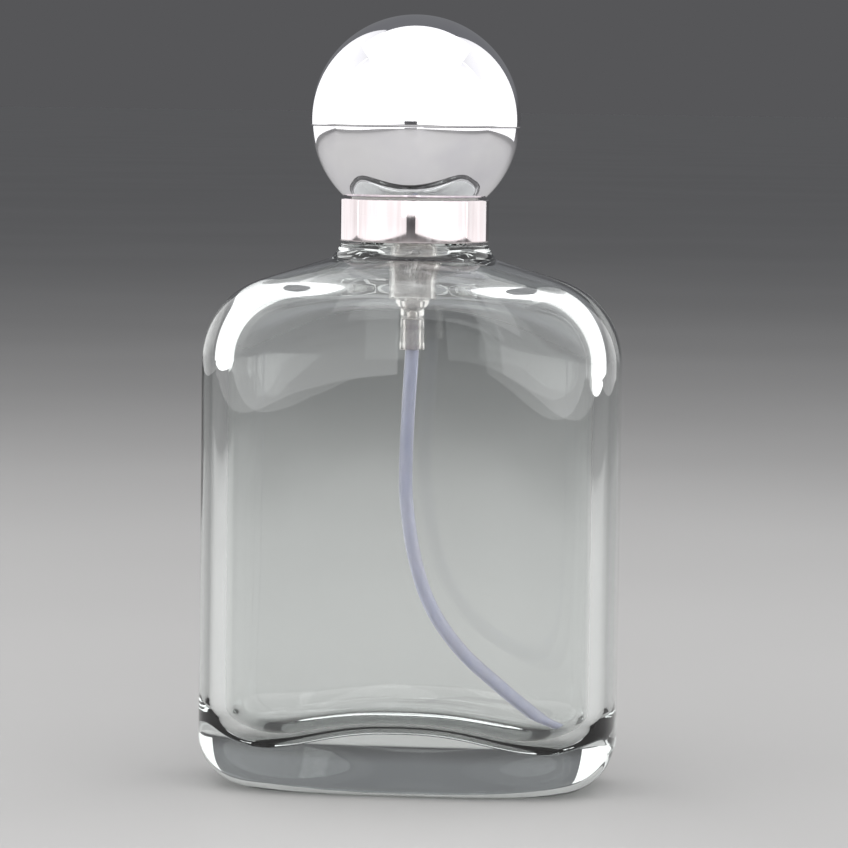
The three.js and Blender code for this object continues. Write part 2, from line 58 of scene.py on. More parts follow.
BODY = {"half_width": 28.1, "half_depth": 15, "squareness": 3.4}
CAVITY = {"half_width": 24.8, "half_depth": 11.9, "squareness": 3.2}
SHOULDER_SLOPE = 18  # degrees
SIDE_TOP = 57.3
SHOULDER_RADIUS = 11.5
CAVITY_SHOULDER_RADIUS = 9.5
SHOULDER_FULLNESS = 2.6
HEEL = {"side": 7, "front": 5, "height": 7}
BASE_RECESS = {"share": 0.8, "depth": 1}
FLOOR_Z = 5.7
FLOOR_ARCH = {"rise": 2.5, "half_span": 19, "flatness": 1.3, "fade_z": 24}
CAVITY_HEEL = {"side": 6, "front": 4.5, "height": 5.5}
NECK_ROOT_RADIUS = 11.5
NECK_FLARE = {"radius": 1.6, "lean": 30, "top": 73.2}
NECK_RADIUS = 6.9
BEAD = {"radius": 7.5, "bottom": 74.4, "full_from": 75}
LIP_Z = 77.6
NECK_BORE = 4.9
BORE_EDGE = 1.2

COLLAR = {"radius": 10, "wall": 0.5, "bottom": 73.5, "top": 79.2}
UPSTAND = {"inside": 7.2, "outside": 7.9, "top": 83, "snap_bead": 7.97}
FLANGE = {"radius": 7.2, "bottom": 78.4, "top": 79.2}
BARREL = {"radius": 3.25, "bore": 2.55, "step": 67.5, "floor": 68}
TUBE_SOCKET = {"radius": 1.6, "bore": 0.99, "bottom": 59, "stop": 63.2}
STEM = {"radius": 1.5, "bore": 0.6, "bottom": 74.75, "top": 88.9, "shoulder": 2.2, "shoulder_z": 80.3}
FERRULE = {"radius": 8, "wall": 0.35, "turret": 4.65, "top": 82.45}
CRIMP = {"reach": 0.45, "bottom": 73.6}  # where the ferrule is squeezed in under the bead
ACTUATOR = {"radius": 6.4, "wall": 0.4, "bottom": 84, "top": 93.5, "skirt_top": 86.8, "skirt_bore": 5.2}
NOZZLE = {"z": 90.3, "radius": 2, "front": 6.25, "length": 2.2}
BALL = {"radius": 14.1, "wall": 1.2, "centre": 89.7, "seam": 88.9, "bottom": 79.55, "overhang": 0.1}
LINER = {"grip": 8.05, "grip_bottom": 80.55, "grip_top": 84.4, "radius": 9, "wall": 0.8, "ceiling": 95.6}
LINER_RING = {"reach": 0.45, "bottom": 81.35, "top": 82}  # locks the liner behind the lower shell
THIMBLE = {"radius": 7.8, "shoulder": 84.9, "bottom": 85.6}  # the liner's closed top


# ---- Nodes and materials -------------------------------------------------------------------------


def srgb(hex_colour):
    """A colour written as six hex digits, turned to linear RGBA."""
    parts = [int(hex_colour[i : i + 2], 16) / 255 for i in (0, 2, 4)]
    linear = [p / 12.92 if p <= 0.04045 else ((p + 0.055) / 1.055) ** 2.4 for p in parts]
    return (*linear, 1.0)


def add_node(tree, kind, inputs=None, **settings):
    """Adds a node, sets what is named in settings, and fills or links its inputs."""
    node = tree.nodes.new(kind)
    for name, value in settings.items():
        setattr(node, name, value)
    for key, value in (inputs or {}).items():
        if isinstance(value, bpy.types.NodeSocket):
            tree.links.new(value, node.inputs[key])
        else:
            node.inputs[key].default_value = value
    return node


def every(size_mm):
    """The texture scale that repeats about every size_mm millimetres on Object coordinates in metres."""
    return 1000 / size_mm


def new_material(name, **plain):
    """A material with one Principled shader whose plain values are given, and its Object coordinates."""
    material = bpy.data.materials.new(name)
    material.use_nodes = True
    tree = material.node_tree
    tree.nodes.clear()
    shader = add_node(tree, "ShaderNodeBsdfPrincipled", plain)
    add_node(tree, "ShaderNodeOutputMaterial", {"Surface": shader.outputs["BSDF"]})
    place = add_node(tree, "ShaderNodeTexCoord").outputs["Object"]
    return material, tree, shader, place


def noise(tree, place, size_mm, detail=3.0, stretch=(1, 1, 1)):
    """Soft mottling with features about size_mm across, stretched along the axes given."""
    turned_place = add_node(tree, "ShaderNodeMapping", {"Vector": place, "Scale": stretch})
    texture = add_node(
        tree,
        "ShaderNodeTexNoise",
        {"Vector": turned_place.outputs["Vector"], "Scale": every(size_mm), "Detail": detail},
    )
    return texture.outputs["Fac"]


def between(tree, amount, low, high, from_low=0.35, from_high=0.65):
    """Spreads a mottling over the values low to high."""
    node = add_node(
        tree,
        "ShaderNodeMapRange",
        {"Value": amount, "From Min": from_low, "From Max": from_high, "To Min": low, "To Max": high},
    )
    return node.outputs["Result"]


def tinted(tree, amount, colour_a, colour_b):
    """Mixes two hex colours by a mottling."""
    node = add_node(
        tree,
        "ShaderNodeMix",
        {0: between(tree, amount, 0.0, 1.0), 6: srgb(colour_a), 7: srgb(colour_b)},
        data_type="RGBA",
    )
    return node.outputs[2]


def raised(tree, shader, height, depth_mm):
    """Gives the surface a relief depth_mm deep."""
    bump = add_node(tree, "ShaderNodeBump", {"Height": height, "Distance": depth_mm * MM, "Strength": 1.0})
    tree.links.new(bump.outputs["Normal"], shader.inputs["Normal"])


def flint_glass():
    """Flint soda-lime glass, blown in a mould and fire-polished.

    It gives clear walls with a faint grey-green depth at the thick edges, and slow ripples in what
    shines off it.
    """
    material, tree, shader, place = new_material(
        "flint_glass_blow_moulded",
        **{"Base Color": srgb("FAFCFB"), "Metallic": 0.0, "IOR": 1.517, "Transmission Weight": 1.0},
    )
    smears = noise(tree, place, 14, 4, (1, 1, 0.35))
    tree.links.new(between(tree, smears, 0.0, 0.012, 0.5, 0.75), shader.inputs["Roughness"])
    raised(tree, shader, noise(tree, place, 11, 1, (1, 1, 0.45)), 0.03)
    depth = add_node(tree, "ShaderNodeVolumeAbsorption", {"Color": srgb("C9DCD6"), "Density": 6.0})
    output = next(node for node in tree.nodes if node.type == "OUTPUT_MATERIAL")
    tree.links.new(depth.outputs["Volume"], output.inputs["Volume"])
    return material


def metallised_abs():
    """ABS, injection-moulded and vacuum-metallised under a clear lacquer.

    It gives a mirror that is very slightly soft, with a trace of orange peel and faint handling haze.
    """
    material, tree, shader, place = new_material(
        "abs_vacuum_metallised",
        **{"Metallic": 1.0, "Coat Weight": 0.25, "Coat Roughness": 0.03, "Coat IOR": 1.5},
    )
    haze = noise(tree, place, 9, 5)
    tree.links.new(tinted(tree, haze, "E4E3E8", "F1F0F2"), shader.inputs["Base Color"])
    tree.links.new(between(tree, haze, 0.025, 0.06), shader.inputs["Roughness"])
    raised(tree, shader, noise(tree, place, 1.6, 1), 0.0006)
    return material


def bright_anodised():
    """Aluminium, deep-drawn, polished and bright-anodised.

    It gives a warm silver mirror with soft upright streaks from the drawing, drawn coarser than real so
    that they show.
    """
    material, tree, shader, place = new_material(
        "aluminium_drawn_bright_anodised", **{"Metallic": 1.0}
    )
    streaks = noise(tree, place, 0.9, 3, (1, 1, 0.06))
    tree.links.new(tinted(tree, streaks, "CFC5C6", "DAD3D4"), shader.inputs["Base Color"])
    tree.links.new(between(tree, streaks, 0.04, 0.08), shader.inputs["Roughness"])
    raised(tree, shader, streaks, 0.0004)
    return material


def drawn_aluminium():
    """Aluminium, deep-drawn from sheet, brushed as it turned and lacquered.

    It gives a satin metal with fine lines that run level round it, drawn coarser than real so that they show.
    """
    material, tree, shader, place = new_material("aluminium_drawn_brushed_lacquered", **{"Metallic": 1.0})
    lines = noise(tree, place, 0.22, 2, (0.06, 0.06, 1))
    tree.links.new(tinted(tree, lines, "D2D3D7", "DFE0E3"), shader.inputs["Base Color"])
    tree.links.new(between(tree, lines, 0.2, 0.28), shader.inputs["Roughness"])
    raised(tree, shader, lines, 0.0008)
    return material


def drawn_wire():
    """Stainless steel, cold-drawn wire with fine die lines: a bright grey metal with dark, broken glints."""
    material, tree, shader, place = new_material("stainless_steel_drawn_wire", **{"Metallic": 1.0})
    lines = noise(tree, place, 0.12, 3)
    tree.links.new(tinted(tree, lines, "A9ABAF", "C9CACD"), shader.inputs["Base Color"])
    tree.links.new(between(tree, lines, 0.18, 0.32), shader.inputs["Roughness"])
    raised(tree, shader, lines, 0.001)
    return material


def natural_polypropylene():
    """Polypropylene, injection-moulded without pigment.

    It gives a milky, warm-grey translucency, cloudier where the plastic flowed last.
    """
    material, tree, shader, place = new_material(
        "polypropylene_moulded_natural",
        **{"IOR": 1.49, "Transmission Weight": 0.86, "Sheen Weight": 0.3, "Sheen Roughness": 0.3},
    )
    clouds = noise(tree, place, 2.2, 3, (1, 1, 0.3))
    tree.links.new(tinted(tree, clouds, "F2EBE8", "FCF8F6"), shader.inputs["Base Color"])
    tree.links.new(between(tree, clouds, 0.04, 0.14), shader.inputs["Roughness"])
    raised(tree, shader, noise(tree, place, 1.4, 1, (1, 1, 0.25)), 0.012)
    return material


def extruded_polyethylene():
    """Low-density polyethylene, extruded as tube.

    It gives a bluish, waxy translucency that pales towards the edges, with long, faint draw lines.
    """
    material, tree, shader, place = new_material(
        "polyethylene_extruded_tube",
        **{"IOR": 1.51, "Transmission Weight": 0.6, "Sheen Weight": 0.7, "Sheen Roughness": 0.3},
    )
    shader.inputs["Sheen Tint"].default_value = srgb("FFF1F0")
    lines = noise(tree, place, 1.1, 3, (1, 1, 0.2))
    tree.links.new(tinted(tree, lines, "DFE1F6", "E9E8F9"), shader.inputs["Base Color"])
    tree.links.new(between(tree, lines, 0.12, 0.22), shader.inputs["Roughness"])
    raised(tree, shader, lines, 0.0005)
    return material


def white_polypropylene():
    """Polypropylene, moulded in white: an even satin skin with a fine spark-eroded grain."""
    material, tree, shader, place = new_material(
        "polypropylene_moulded_white", **{"IOR": 1.49, "Subsurface Weight": 0.12, "Subsurface Scale": 0.001}
    )
    shader.inputs["Subsurface Radius"].default_value = (1.0, 0.9, 0.8)
    mottle = noise(tree, place, 3, 3)
    tree.links.new(tinted(tree, mottle, "ECEBE7", "F6F5F2"), shader.inputs["Base Color"])
    tree.links.new(between(tree, mottle, 0.32, 0.44), shader.inputs["Roughness"])
    raised(tree, shader, noise(tree, place, 0.2, 2), 0.003)
    return material


def seal_rubber():
    """EPDM rubber, die-cut from sheet: near-black and matt, with a dusty bloom."""
    material, tree, shader, place = new_material("epdm_rubber_die_cut", **{"IOR": 1.52})
    bloom = noise(tree, place, 0.8, 4)
    tree.links.new(tinted(tree, bloom, "26272A", "36373B"), shader.inputs["Base Color"])
    tree.links.new(between(tree, bloom, 0.6, 0.8), shader.inputs["Roughness"])
    raised(tree, shader, bloom, 0.01)
    return material


GLASS = flint_glass()
CHROME = metallised_abs()
COLLAR_METAL = bright_anodised()
SHEET_METAL = drawn_aluminium()
WIRE = drawn_wire()
MILKY = natural_polypropylene()
TUBING = extruded_polyethylene()
WHITE = white_polypropylene()
RUBBER = seal_rubber()


# ---- Mesh tools ----------------------------------------------------------------------------------


def arc(x, z, radius, start, end, steps):
    """Points from one angle to another, in degrees, on a circle about (x, z)."""
    angles = [math.radians(start + (end - start) * i / steps) for i in range(steps + 1)]
    return [(x + radius * math.cos(a), z + radius * math.sin(a)) for a in angles]


def eased(outline, radius, steps=4):
    """Rounds the corners of a closed outline, leaving its points on the axis and its gentle bends alone."""
    result = []
    for i, point in enumerate(outline):
        here = Vector(point)
        before = Vector(outline[i - 1]) - here
        after = Vector(outline[(i + 1) % len(outline)]) - here
        turn = math.pi - before.angle(after)
        if here.x < 1e-6 or turn < math.radians(25):
            result.append(point)
            continue
        reach = min(radius * math.tan(turn / 2), 0.45 * before.length, 0.45 * after.length)
        first = here + before.normalized() * reach
        last = here + after.normalized() * reach
        for step in range(steps + 1):
            t = step / steps
            middle = first * (1 - t) ** 2 + here * 2 * t * (1 - t) + last * t**2
            result.append((middle.x, middle.y))
    return result


def finish_mesh(name, points, faces, material):
    """A mesh object from points in millimetres, smooth except at its crisp edges."""
    mesh = bpy.data.meshes.new(name)
    mesh.from_pydata([tuple(c * MM for c in p) for p in points], [], faces)
    mesh.materials.append(material)
    mesh.validate()
    mesh.shade_smooth()
    mesh.set_sharp_from_angle(angle=SHARP_ANGLE)
    made = bpy.data.objects.new(name, mesh)
    bpy.context.scene.collection.objects.link(made)
    return made


def loft(name, rings, closed, material):
    """Skins rings of points that each hold the same number, or one point where the skin comes to a pole."""
    points, starts, faces = [], [], []
    for ring in rings:
        starts.append(len(points))
        points += ring
    pairs = list(zip(range(len(rings)), range(1, len(rings))))
    if closed:
        pairs.append((len(rings) - 1, 0))
    count = max(len(ring) for ring in rings)
    for a, b in pairs:
        for i in range(count):
            j = (i + 1) % count
            low = [starts[a]] if len(rings[a]) == 1 else [starts[a] + i, starts[a] + j]
            high = [starts[b]] if len(rings[b]) == 1 else [starts[b] + j, starts[b] + i]
            if len(low) + len(high) > 2:
                faces.append(low + high)
    return finish_mesh(name, points, faces, material)


def turned(name, outline, material, steps=TURN_STEPS, spout_axis=False):
    """Turns a closed outline of (radius, height) points about the Z axis, or about the axis of the spray.

    The axis of the spray runs forwards, along -Y, through the middle of the nozzle.
    """
    area = sum(
        x * outline[(i + 1) % len(outline)][1] - outline[(i + 1) % len(outline)][0] * z
        for i, (x, z) in enumerate(outline)
    )
    ordered = outline if area > 0 else outline[::-1]
    on_axis = [i for i, (r, _) in enumerate(ordered) if r < 1e-6]
    if on_axis:  # start at the outline's last point on the axis, so the skin runs from pole to pole
        first = next(i for i in on_axis if ordered[(i + 1) % len(ordered)][0] > 1e-6)
        ordered = ordered[first:] + ordered[:first]
    angles = [2 * math.pi * i / steps for i in range(steps)]
    rings = [
        [(0, 0, z)] if r < 1e-6 else [(r * math.cos(a), r * math.sin(a), z) for a in angles]
        for r, z in ordered
    ]
    if spout_axis:
        rings = [[(x, -z, y + NOZZLE["z"]) for x, y, z in ring] for ring in rings]
    return loft(name, rings, not on_axis, material)


def rod(radius, start, end, spout_axis=False):
    """A plain round tool for carving."""
    outline = [(0, start), (radius, start), (radius, end), (0, end)]
    return turned("carving_tool", outline, WHITE, 48, spout_axis)


def carved(piece, *cuts):
    """Cuts or joins tools into a piece, one after another, and removes them."""
    for number, (operation, tool) in enumerate(cuts):
        cut = piece.modifiers.new(f"carve_{number}", "BOOLEAN")
        cut.operation, cut.object, cut.solver = operation, tool, "EXACT"
    bpy.context.view_layer.update()
    evaluated = piece.evaluated_get(bpy.context.evaluated_depsgraph_get())
    plain = bpy.data.meshes.new_from_object(evaluated)
    piece.modifiers.clear()
    piece.data = plain
    plain.shade_smooth()
    plain.set_sharp_from_angle(angle=SHARP_ANGLE)
    for _, tool in cuts:
        bpy.data.objects.remove(tool)
    return piece


def stand_for(piece, body, node):
    """The piece rides on a body and is shown in place of a CAD node."""
    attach(piece, body)
    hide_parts(node)
    return piece


# ---- Geometry node trees -------------------------------------------------------------------------


def new_tree(name, sizes):
    """A geometry tree with named inputs, whose last nodes realize its instances and set the material."""
    tree = bpy.data.node_groups.new(name, "GeometryNodeTree")
    tree.interface.new_socket("Geometry", in_out="OUTPUT", socket_type="NodeSocketGeometry")
    tree.interface.new_socket("Geometry", in_out="INPUT", socket_type="NodeSocketGeometry")
    for label, kind in sizes.items():
        tree.interface.new_socket(label, in_out="INPUT", socket_type="NodeSocket" + kind)
    tree.interface.new_socket("Material", in_out="INPUT", socket_type="NodeSocketMaterial")
    return tree, add_node(tree, "NodeGroupInput").outputs


def end_tree(tree, given, geometry):
    real = add_node(tree, "GeometryNodeRealizeInstances", {"Geometry": geometry})
    dressed = add_node(
        tree,
        "GeometryNodeSetMaterial",
        {"Geometry": real.outputs["Geometry"], "Material": given["Material"]},
    )
    add_node(tree, "NodeGroupOutput", {"Geometry": dressed.outputs["Geometry"]})


def grown(name, tree, values, start_mesh=None):
    """Runs a geometry tree once, and keeps the result as a plain mesh object."""
    mesh = start_mesh or bpy.data.meshes.new(name + "_start")
    made = bpy.data.objects.new(name, mesh)
    bpy.context.scene.collection.objects.link(made)
    modifier = made.modifiers.new("shape", "NODES")
    modifier.node_group = tree
    for item in tree.interface.items_tree:
        if item.in_out == "INPUT" and item.name in values:
            modifier[item.identifier] = values[item.name]
    bpy.context.view_layer.update()
    evaluated = made.evaluated_get(bpy.context.evaluated_depsgraph_get())
    plain = bpy.data.meshes.new_from_object(evaluated)
    made.modifiers.remove(modifier)
    made.data = plain
    plain.shade_smooth()
    plain.set_sharp_from_angle(angle=SHARP_ANGLE)
    return made


def maths(tree, operation, a, b=0.0):
    return add_node(tree, "ShaderNodeMath", {0: a, 1: b}, operation=operation).outputs[0]


def coil_tree():
    """A compression spring of round wire whose end turns close up flat."""
    sizes = {"Radius": "Float", "Wire": "Float", "Turns": "Float", "Bottom": "Float", "Top": "Float"}
    tree, given = new_tree("coil_spring", sizes)
    flat = add_node(
        tree,
        "GeometryNodeCurveSpiral",
        {
            "Resolution": 48,
            "Rotations": given["Turns"],
            "Start Radius": given["Radius"],
            "End Radius": given["Radius"],
            "Height": 0.0,
        },
    )
    along = add_node(tree, "GeometryNodeSplineParameter").outputs["Factor"]
    wave = maths(tree, "SINE", maths(tree, "MULTIPLY", along, 2 * math.pi))
    climb = maths(tree, "SUBTRACT", along, maths(tree, "MULTIPLY", wave, 1 / (6 * math.pi)))
    low = maths(tree, "ADD", given["Bottom"], given["Wire"])
    high = maths(tree, "SUBTRACT", given["Top"], given["Wire"])
    rise = maths(tree, "MULTIPLY", climb, maths(tree, "SUBTRACT", high, low))
    lift = add_node(tree, "ShaderNodeCombineXYZ", {"Z": maths(tree, "ADD", low, rise)})
    helix = add_node(
        tree, "GeometryNodeSetPosition", {"Geometry": flat.outputs["Curve"], "Offset": lift.outputs["Vector"]}
    )
    section = add_node(
        tree, "GeometryNodeCurvePrimitiveCircle", {"Resolution": 14, "Radius": given["Wire"]}
    )
    wire = add_node(
        tree,
        "GeometryNodeCurveToMesh",
        {
            "Curve": helix.outputs["Geometry"],
            "Profile Curve": section.outputs["Curve"],
            "Fill Caps": True,
        },
    )
    end_tree(tree, given, wire.outputs["Mesh"])
    return tree


def hose_tree():
    """A round skin, open at both ends, along a chain of points that it passes through smoothly."""
    tree, given = new_tree("extruded_tube", {"Radius": "Float", "Rings": "Int", "Sides": "Int"})
    chain = add_node(tree, "GeometryNodeMeshToCurve", {"Mesh": given["Geometry"]})
    smooth = add_node(
        tree, "GeometryNodeCurveSplineType", {"Curve": chain.outputs["Curve"]}, spline_type="CATMULL_ROM"
    )
    even = add_node(
        tree, "GeometryNodeResampleCurve", {"Curve": smooth.outputs["Curve"], "Count": given["Rings"]}
    )
    section = add_node(
        tree,
        "GeometryNodeCurvePrimitiveCircle",
        {"Resolution": given["Sides"], "Radius": given["Radius"]},
    )
    skin = add_node(
        tree,
        "GeometryNodeCurveToMesh",
        {"Curve": even.outputs["Curve"], "Profile Curve": section.outputs["Curve"], "Fill Caps": False},
    )
    end_tree(tree, given, skin.outputs["Mesh"])
    return tree


def rib_tree():
    """Upright ribs with rounded noses, evenly spaced round a bore."""
    lengths = ("Bore", "Width", "Reach", "Bottom", "Top")
    sizes = {"Ribs": "Int", **dict.fromkeys(lengths, "Float")}
    tree, given = new_tree("bore_ribs", sizes)
    nose = add_node(
        tree,
        "GeometryNodeCurvePrimitiveCircle",
        {"Resolution": 12, "Radius": maths(tree, "DIVIDE", given["Width"], 2.0)},
    )
    bottom = add_node(
        tree,
        "ShaderNodeCombineXYZ",
        {"X": 0.0, "Z": given["Bottom"]},
    )
    top = add_node(tree, "ShaderNodeCombineXYZ", {"X": 0.0, "Z": given["Top"]})
    line = add_node(
        tree,
        "GeometryNodeCurvePrimitiveLine",
        {"Start": bottom.outputs["Vector"], "End": top.outputs["Vector"]},
    )
    rib = add_node(
        tree,
        "GeometryNodeCurveToMesh",
        {"Curve": line.outputs["Curve"], "Profile Curve": nose.outputs["Curve"], "Fill Caps": True},
    )
    ring = add_node(
        tree,
        "GeometryNodeMeshCircle",
        {"Vertices": given["Ribs"], "Radius": maths(tree, "SUBTRACT", given["Bore"], given["Reach"])},
    )
    ribs = add_node(
        tree,
        "GeometryNodeInstanceOnPoints",
        {"Points": ring.outputs["Mesh"], "Instance": rib.outputs["Mesh"]},
    )
    end_tree(tree, given, ribs.outputs["Instances"])
    return tree


# ---- Glass flask ---------------------------------------------------------------------------------


def level_cut(width, z, neck, form):
    """A level cut through the flask: a circle at the neck that grows into the body's squared-off oval."""
    share = min(max((width - neck) / (form["half_width"] - neck), 0), 1)
    filled = 1 - (1 - share) ** SHOULDER_FULLNESS
    depth = neck + (form["half_depth"] - neck) * filled
    return width, depth, 2 + (form["squareness"] - 2) * filled, z


def round_cut(radius, z):
    return radius, radius, 2, z


def shoulder_cuts(form, radius, neck, end_width):
    """From the upright side, round the shoulder and up its slope to a given half-width."""
    bend = arc(form["half_width"] - radius, SIDE_TOP, radius, 0, 90 - SHOULDER_SLOPE, 24)
    bend_width, bend_z = bend[-1]
    rise = math.tan(math.radians(SHOULDER_SLOPE))
    widths = [bend_width + (end_width - bend_width) * (i + 1) / 20 for i in range(20)]
    slope = [(width, bend_z + (bend_width - width) * rise) for width in widths]
    return [level_cut(width, z, neck, form) for width, z in bend + slope]


def heel_cuts(form, rounding, floor_z):
    """A quarter oval from the flat bottom to the upright side."""
    return [
        (
            form["half_width"] - rounding["side"] * (1 - out),
            form["half_depth"] - rounding["front"] * (1 - out),
            form["squareness"],
            floor_z + rounding["height"] * (1 + up),
        )
        for out, up in arc(0, 0, 1, -90, 0, 18)
    ]


def footprint_cut(form, rounding, share, z):
    """A level cut inside the foot of the heel, at a share of the heel's own footprint."""
    width, depth = form["half_width"] - rounding["side"], form["half_depth"] - rounding["front"]
    return width * share, depth * share, form["squareness"], z


def side_cuts(form, bottom, top, steps):
    """Cuts up the straight side, so the reflections on it have points to follow."""
    return [
        (form["half_width"], form["half_depth"], form["squareness"], bottom + (top - bottom) * i / steps)
        for i in range(1, steps)
    ]


def arch_at(x, z):
    """How much higher the cavity floor stands at x than at its low ends."""
    across = min(abs(x) / FLOOR_ARCH["half_span"], 1) ** FLOOR_ARCH["flatness"]
    up_the_wall = min(max((z - FLOOR_Z) / (FLOOR_ARCH["fade_z"] - FLOOR_Z), 0), 1)
    return FLOOR_ARCH["rise"] * (1 + math.cos(math.pi * across)) / 2 * (1 - up_the_wall) ** 2


def neck_cuts(root_z):
    """From the shoulder up the cove, the cone, the groove and the bead to the lip."""
    slope, lean = math.radians(SHOULDER_SLOPE), math.radians(NECK_FLARE["lean"])
    radius, top = NECK_FLARE["radius"], NECK_FLARE["top"]
    cove = arc(
        NECK_ROOT_RADIUS + radius * math.sin(slope),
        root_z + radius * math.cos(slope),
        radius,
        -90 - SHOULDER_SLOPE,
        NECK_FLARE["lean"] - 180,
        14,
    )
    cove_end, cove_top = cove[-1]
    corner = 0.3
    rim = cove_end - (top - corner - cove_top) * math.tan(lean)
    cone_height = top - corner - cove_top
    cone = [
        (cove_end + (rim - cove_end) * t, cove_top + cone_height * t) for t in (0.25, 0.5, 0.75)
    ]
    rim_round = arc(rim - corner, top - corner, corner, 0, 90, 5)
    groove = [(NECK_RADIUS + 0.3, top), (NECK_RADIUS, top + 0.3), (NECK_RADIUS, BEAD["bottom"] - 0.2)]
    bead = [(BEAD["radius"] - 0.25, BEAD["bottom"] + 0.1), (BEAD["radius"], BEAD["full_from"])]
    outer, inner = 0.5, 0.35  # the lip's roundings
    lip = arc(BEAD["radius"] - outer, LIP_Z - outer, outer, 0, 90, 6)
    lip += arc(NECK_BORE + inner, LIP_Z - inner, inner, 90, 180, 5)
    return [round_cut(r, z) for r, z in cove[1:] + cone + rim_round + groove + bead + lip]


def bore_cuts(ceiling_z):
    """Down the bore and round its edge, to where the cavity's ceiling starts."""
    edge_z = ceiling_z + BORE_EDGE * math.cos(math.radians(SHOULDER_SLOPE))
    edge = arc(NECK_BORE + BORE_EDGE, edge_z, BORE_EDGE, 180, 270 - SHOULDER_SLOPE, 10)[:-1]
    return [round_cut(r, z) for r, z in [(NECK_BORE, 76), (NECK_BORE, 74), (NECK_BORE, 72.7)] + edge]


def flask():
    """Level cuts from the middle of the base, up the outside, over the lip and down the inside."""
    around = 224  # points in each cut
    outside = shoulder_cuts(BODY, SHOULDER_RADIUS, NECK_ROOT_RADIUS, NECK_ROOT_RADIUS)
    ceiling_end = NECK_BORE + BORE_EDGE * (1 - math.sin(math.radians(SHOULDER_SLOPE)))
    inside = shoulder_cuts(CAVITY, CAVITY_SHOULDER_RADIUS, NECK_BORE, ceiling_end)
    shares = [BASE_RECESS["share"] * i / 16 for i in range(17)]
    bottom = [
        footprint_cut(BODY, HEEL, share, BASE_RECESS["depth"] * (1 - (share / BASE_RECESS["share"]) ** 2))
        for share in shares
    ]
    outer_cuts = (
        bottom
        + [footprint_cut(BODY, HEEL, share, 0) for share in (0.83, 0.92)]
        + heel_cuts(BODY, HEEL, 0)
        + side_cuts(BODY, HEEL["height"], SIDE_TOP, 24)
        + outside
        + neck_cuts(outside[-1][3])
        + bore_cuts(inside[-1][3])
    )
    inner_cuts = (
        inside[::-1]
        + side_cuts(CAVITY, FLOOR_Z + CAVITY_HEEL["height"], SIDE_TOP, 30)[::-1]
        + heel_cuts(CAVITY, CAVITY_HEEL, FLOOR_Z)[::-1]
        + [
            footprint_cut(CAVITY, CAVITY_HEEL, share, FLOOR_Z)
            for share in (0.94, 0.85, 0.75, 0.64, 0.52, 0.4, 0.28, 0.16, 0.07, 0)
        ]
    )
    rings = []
    for index, (width, depth, squareness, z) in enumerate(outer_cuts + inner_cuts):
        arch = index >= len(outer_cuts) and z < FLOOR_ARCH["fade_z"]
        if width < 1e-6:
            rings.append([(0, 0, z + (arch_at(0, z) if arch else 0))])
            continue
        ring = []
        for step in range(around):
            angle = 2 * math.pi * step / around
            c, s = math.cos(angle), math.sin(angle)
            x = width * math.copysign(abs(c) ** (2 / squareness), c)
            y = depth * math.copysign(abs(s) ** (2 / squareness), s)
            ring.append((x, y, z + (arch_at(x, z) if arch else 0)))
        rings.append(ring)
    return loft("glass_flask", rings, False, GLASS)


stand_for(flask(), "flask", "glass_bottle")


# ---- Neck and collar -----------------------------------------------------------------------------

ferrule_plate = FLANGE["top"] + 0.05
ferrule_inside = FERRULE["radius"] - FERRULE["wall"]

gasket_bottom = LIP_Z + 0.05
gasket_top = LIP_Z + 0.75
stand_for(
    turned(
        "gasket",
        eased(
            [
                (NECK_BORE, gasket_bottom),
                (FLANGE["radius"], gasket_bottom),
                (FLANGE["radius"], gasket_top),
                (NECK_BORE, gasket_top),
            ],
            0.12,
        ),
        RUBBER,
        SMALL_TURN_STEPS,
    ),
    "flask",
    "neck_gasket",
)

stand_for(
    turned(
        "ferrule",
        eased(
            [
                (NECK_RADIUS + CRIMP["reach"], CRIMP["bottom"]),
                (FERRULE["radius"], BEAD["bottom"]),
                (FERRULE["radius"], ferrule_plate + FERRULE["wall"]),
                (FERRULE["turret"], ferrule_plate + FERRULE["wall"]),
                (FERRULE["turret"], FERRULE["top"]),
                (STEM["radius"] + 0.4, FERRULE["top"]),
                (STEM["radius"] + 0.4, FERRULE["top"] - FERRULE["wall"]),
                (FERRULE["turret"] - FERRULE["wall"], FERRULE["top"] - FERRULE["wall"]),
                (FERRULE["turret"] - FERRULE["wall"], ferrule_plate),
                (ferrule_inside, ferrule_plate),
                (ferrule_inside, BEAD["bottom"] + 0.35),
                (NECK_RADIUS + CRIMP["reach"] - 0.3, CRIMP["bottom"] + 0.5),
            ],
            0.18,
        ),
        SHEET_METAL,
    ),
    "flask",
    "crimp_ferrule",
)

collar_hole = UPSTAND["outside"] + 0.7
stand_for(
    turned(
        "collar",
        eased(
            [
                (COLLAR["radius"], COLLAR["bottom"]),
                (COLLAR["radius"], COLLAR["top"]),
                (collar_hole, COLLAR["top"]),
                (collar_hole, COLLAR["top"] - COLLAR["wall"]),
                (COLLAR["radius"] - COLLAR["wall"], COLLAR["top"] - COLLAR["wall"]),
                (COLLAR["radius"] - COLLAR["wall"], COLLAR["bottom"]),
            ],
            0.22,
            5,
        ),
        COLLAR_METAL,
        192,
    ),
    "flask",
    "collar_ring",
)

